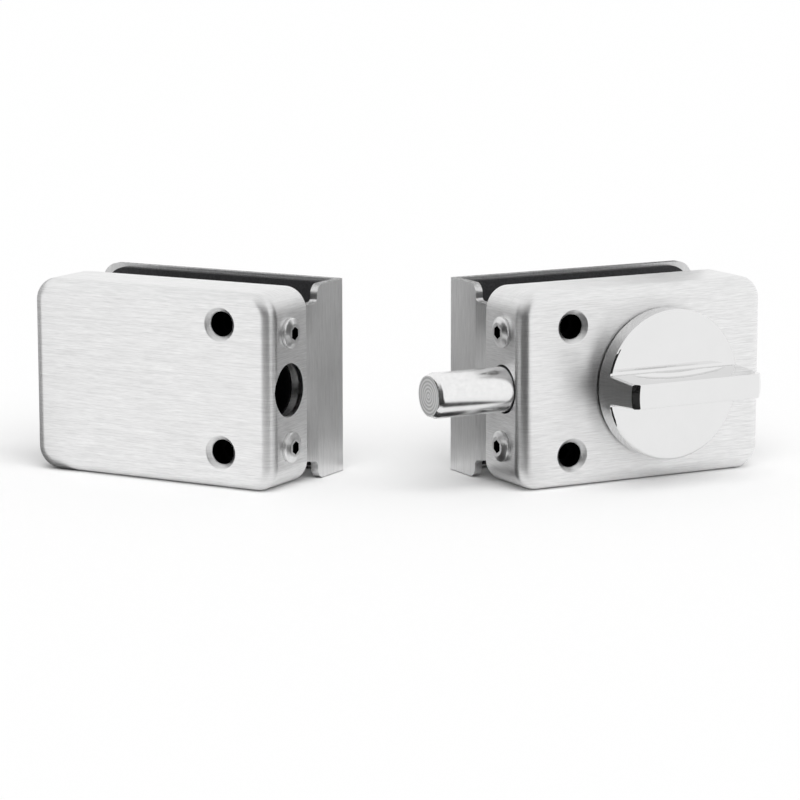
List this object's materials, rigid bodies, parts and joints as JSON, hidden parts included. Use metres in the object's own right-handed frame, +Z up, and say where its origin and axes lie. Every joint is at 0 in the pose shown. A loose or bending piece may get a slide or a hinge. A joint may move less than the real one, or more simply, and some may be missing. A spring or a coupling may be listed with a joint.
{
  "type": "glass door lock",
  "caption": "Clamp-on lock for frameless glass doors: brushed steel lock unit with sliding bolt and turn knob, and matching strike unit with a bolt socket.",
  "frame": {"origin": "point where the bolt's axis leaves the lock unit's side face", "axes": "-X is the way the bolt is thrown, -Y is the front with the knob, +Z is up"},
  "size_m": [0.1663, 0.127, 0.05],
  "materials": {
    "case_steel": "stainless steel with a fine brushed grain",
    "bracket_steel": "stainless sheet, brushed along the flange",
    "screw_steel": "turned stainless steel",
    "cast_zinc": "die-cast zinc block, matt",
    "black_steel": "black oxide steel set screw",
    "plate_steel": "zinc-plated steel",
    "gasket_rubber": "dark grey rubber sheet",
    "bolt_chrome": "polished chrome",
    "knob_chrome": "mirror polished chrome",
    "washer_plastic": "dark nylon"
  },
  "bodies": {
    "units": {"lock_case": "case_steel", "lock_bracket": "bracket_steel", "lock_side_screws": "screw_steel", "lock_chassis": "cast_zinc", "lock_back_gasket": "gasket_rubber", "knob_washer": "washer_plastic", "chassis_cover": "plate_steel", "cover_screws": "screw_steel", "detent_ball": "bolt_chrome", "detent_spring": "plate_steel", "strike_case": "case_steel", "strike_bracket": "bracket_steel", "strike_side_screws": "screw_steel", "strike_chassis": "cast_zinc", "strike_back_gasket": "gasket_rubber"},
    "knob": {"knob": "knob_chrome", "spindle": "plate_steel", "spindle_screw": "screw_steel", "pinion": "plate_steel"},
    "bolt": {"bolt": "bolt_chrome"},
    "lock_clamp": {"lock_clamp_screws": "black_steel", "lock_clamp_plate": "plate_steel", "lock_clamp_gasket": "gasket_rubber"},
    "strike_clamp": {"strike_clamp_screws": "black_steel", "strike_clamp_plate": "plate_steel", "strike_clamp_gasket": "gasket_rubber"}
  },
  "joints": [
    {"name": "knob_turn", "type": "hinge", "parent": "units", "child": "knob", "pos_m": [0.04121, 0, 0], "axis": [0, -1, 0], "range_deg": [0, 180]},
    {"name": "bolt_slide", "type": "slide", "parent": "units", "child": "bolt", "axis": [1, 0, 0], "range_m": [0, 0.02121]},
    {"name": "lock_clamp_slide", "type": "slide", "parent": "units", "child": "lock_clamp", "axis": [0, 1, 0], "range_m": [0, 0.0042]},
    {"name": "strike_clamp_slide", "type": "slide", "parent": "units", "child": "strike_clamp", "axis": [0.8377, 0.5461, 0], "range_m": [0, 0.0042]}
  ],
  "couplings": [
    {"joint": "bolt_slide", "follows": "knob_turn", "m_per_rad": 0.00675}
  ]
}
